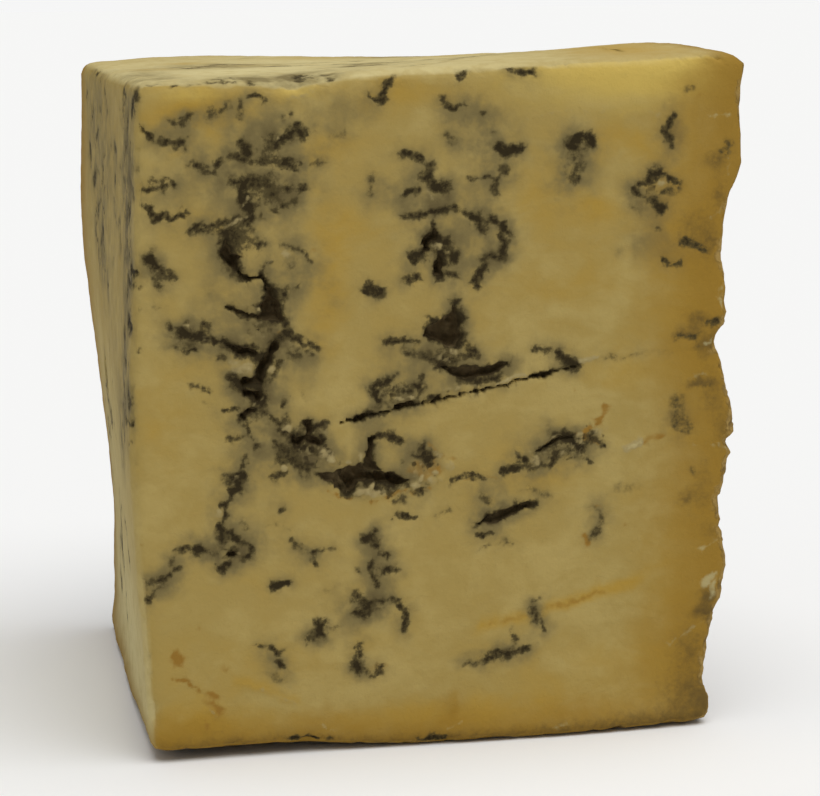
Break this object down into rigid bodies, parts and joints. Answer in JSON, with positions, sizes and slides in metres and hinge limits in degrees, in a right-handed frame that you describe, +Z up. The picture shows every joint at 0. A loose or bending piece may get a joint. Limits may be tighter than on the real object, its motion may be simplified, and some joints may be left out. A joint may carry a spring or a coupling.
{
  "type": "stilton wedge",
  "caption": "Wedge of blue-veined cheese from a drum-shaped wheel, with upright cut faces, a level cut top, a rough brown rind round the back and a crusted base.",
  "frame": {"origin": "middle of the footprint, on the surface that the wedge stands on", "axes": "+Z up; the front cut faces -Y, the left cut faces -X, and the rind curves round the +X and +Y sides"},
  "size_m": [0.1032, 0.1014, 0.1168],
  "materials": {
    "cheese": "moist, slightly waxy paste; dry, rough rind"
  },
  "bodies": {
    "root": {"wedge": "cheese"}
  },
  "joints": []
}
